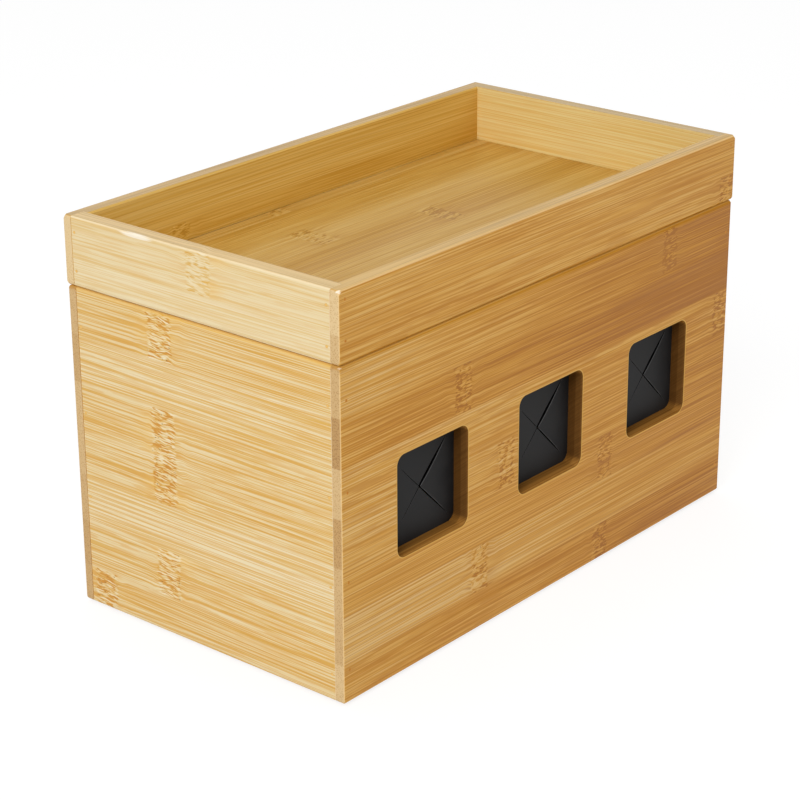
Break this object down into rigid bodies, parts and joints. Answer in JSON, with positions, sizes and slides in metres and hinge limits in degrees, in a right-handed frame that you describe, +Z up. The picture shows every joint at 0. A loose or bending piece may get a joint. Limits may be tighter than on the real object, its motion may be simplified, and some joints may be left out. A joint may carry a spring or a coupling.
{
  "type": "cable management box",
  "caption": "Wooden box that hides a power strip, with rubber cross-slit cable outlets in its long walls and a lift-off lid that is also a tray.",
  "frame": {"origin": "middle of the underside, on the surface that the feet rest on", "axes": "+X to the right along the long front, +Y from the front to the back, +Z up"},
  "size_m": [0.3008, 0.1658, 0.1955],
  "materials": {
    "bamboo_amber": "satin lacquered amber bamboo",
    "bamboo_pale": "satin lacquered pale bamboo",
    "bamboo_floor": "satin lacquered bamboo panel",
    "seal_rubber": "smooth satin black sheet",
    "foot_rubber": "matt black",
    "screw_steel": "zinc plated",
    "nail_filler": "wood filler over brad heads"
  },
  "bodies": {
    "box": {"front_panel": "bamboo_amber", "back_panel": "bamboo_amber", "left_panel": "bamboo_pale", "right_panel": "bamboo_pale", "bottom_panel": "bamboo_amber", "box_brads": "nail_filler", "foot_front_left": "foot_rubber", "foot_front_right": "foot_rubber", "foot_back_left": "foot_rubber", "foot_back_right": "foot_rubber", "left_seal": "seal_rubber", "left_seal_screws": "screw_steel", "middle_seal": "seal_rubber", "middle_seal_screws": "screw_steel", "right_seal": "seal_rubber", "right_seal_screws": "screw_steel", "rear_seal": "seal_rubber", "rear_seal_screws": "screw_steel"},
    "lid": {"tray_front_rail": "bamboo_amber", "tray_back_rail": "bamboo_amber", "tray_left_rail": "bamboo_pale", "tray_right_rail": "bamboo_pale", "tray_floor": "bamboo_floor", "tray_brads": "nail_filler", "batten_left": "bamboo_amber", "batten_right": "bamboo_amber", "batten_screws": "screw_steel"},
    "left_flap_lower": {"left_flap_lower": "seal_rubber"},
    "left_flap_right": {"left_flap_right": "seal_rubber"},
    "left_flap_upper": {"left_flap_upper": "seal_rubber"},
    "left_flap_left": {"left_flap_left": "seal_rubber"},
    "middle_flap_lower": {"middle_flap_lower": "seal_rubber"},
    "middle_flap_right": {"middle_flap_right": "seal_rubber"},
    "middle_flap_upper": {"middle_flap_upper": "seal_rubber"},
    "middle_flap_left": {"middle_flap_left": "seal_rubber"},
    "right_flap_lower": {"right_flap_lower": "seal_rubber"},
    "right_flap_right": {"right_flap_right": "seal_rubber"},
    "right_flap_upper": {"right_flap_upper": "seal_rubber"},
    "right_flap_left": {"right_flap_left": "seal_rubber"},
    "rear_flap_lower": {"rear_flap_lower": "seal_rubber"},
    "rear_flap_right": {"rear_flap_right": "seal_rubber"},
    "rear_flap_upper": {"rear_flap_upper": "seal_rubber"},
    "rear_flap_left": {"rear_flap_left": "seal_rubber"}
  },
  "joints": [
    {"name": "lid_lift", "type": "slide", "parent": "box", "child": "lid", "axis": [0, 0, 1], "range_m": [0, 0.1]},
    {"name": "left_lower_bend", "type": "hinge", "parent": "box", "child": "left_flap_lower", "pos_m": [-0.088, -0.07375, 0.0635], "axis": [-1, 0, 0], "range_deg": [-75, 75], "stiffness_Nm_per_rad": 0.004},
    {"name": "left_right_bend", "type": "hinge", "parent": "box", "child": "left_flap_right", "pos_m": [-0.068, -0.07375, 0.0835], "axis": [0, 0, -1], "range_deg": [-75, 75], "stiffness_Nm_per_rad": 0.004},
    {"name": "left_upper_bend", "type": "hinge", "parent": "box", "child": "left_flap_upper", "pos_m": [-0.088, -0.07375, 0.1035], "axis": [1, 0, 0], "range_deg": [-75, 75], "stiffness_Nm_per_rad": 0.004},
    {"name": "left_left_bend", "type": "hinge", "parent": "box", "child": "left_flap_left", "pos_m": [-0.108, -0.07375, 0.0835], "axis": [0, 0, 1], "range_deg": [-75, 75], "stiffness_Nm_per_rad": 0.004},
    {"name": "middle_lower_bend", "type": "hinge", "parent": "box", "child": "middle_flap_lower", "pos_m": [0, -0.07375, 0.0635], "axis": [-1, 0, 0], "range_deg": [-75, 75], "stiffness_Nm_per_rad": 0.004},
    {"name": "middle_right_bend", "type": "hinge", "parent": "box", "child": "middle_flap_right", "pos_m": [0.02, -0.07375, 0.0835], "axis": [0, 0, -1], "range_deg": [-75, 75], "stiffness_Nm_per_rad": 0.004},
    {"name": "middle_upper_bend", "type": "hinge", "parent": "box", "child": "middle_flap_upper", "pos_m": [0, -0.07375, 0.1035], "axis": [1, 0, 0], "range_deg": [-75, 75], "stiffness_Nm_per_rad": 0.004},
    {"name": "middle_left_bend", "type": "hinge", "parent": "box", "child": "middle_flap_left", "pos_m": [-0.02, -0.07375, 0.0835], "axis": [0, 0, 1], "range_deg": [-75, 75], "stiffness_Nm_per_rad": 0.004},
    {"name": "right_lower_bend", "type": "hinge", "parent": "box", "child": "right_flap_lower", "pos_m": [0.088, -0.07375, 0.0635], "axis": [-1, 0, 0], "range_deg": [-75, 75], "stiffness_Nm_per_rad": 0.004},
    {"name": "right_right_bend", "type": "hinge", "parent": "box", "child": "right_flap_right", "pos_m": [0.108, -0.07375, 0.0835], "axis": [0, 0, -1], "range_deg": [-75, 75], "stiffness_Nm_per_rad": 0.004},
    {"name": "right_upper_bend", "type": "hinge", "parent": "box", "child": "right_flap_upper", "pos_m": [0.088, -0.07375, 0.1035], "axis": [1, 0, 0], "range_deg": [-75, 75], "stiffness_Nm_per_rad": 0.004},
    {"name": "right_left_bend", "type": "hinge", "parent": "box", "child": "right_flap_left", "pos_m": [0.068, -0.07375, 0.0835], "axis": [0, 0, 1], "range_deg": [-75, 75], "stiffness_Nm_per_rad": 0.004},
    {"name": "rear_lower_bend", "type": "hinge", "parent": "box", "child": "rear_flap_lower", "pos_m": [0, 0.07375, 0.0635], "axis": [1, 0, 0], "range_deg": [-75, 75], "stiffness_Nm_per_rad": 0.004},
    {"name": "rear_right_bend", "type": "hinge", "parent": "box", "child": "rear_flap_right", "pos_m": [-0.02, 0.07375, 0.0835], "axis": [0, 0, -1], "range_deg": [-75, 75], "stiffness_Nm_per_rad": 0.004},
    {"name": "rear_upper_bend", "type": "hinge", "parent": "box", "child": "rear_flap_upper", "pos_m": [0, 0.07375, 0.1035], "axis": [-1, 0, 0], "range_deg": [-75, 75], "stiffness_Nm_per_rad": 0.004},
    {"name": "rear_left_bend", "type": "hinge", "parent": "box", "child": "rear_flap_left", "pos_m": [0.02, 0.07375, 0.0835], "axis": [0, 0, 1], "range_deg": [-75, 75], "stiffness_Nm_per_rad": 0.004}
  ]
}
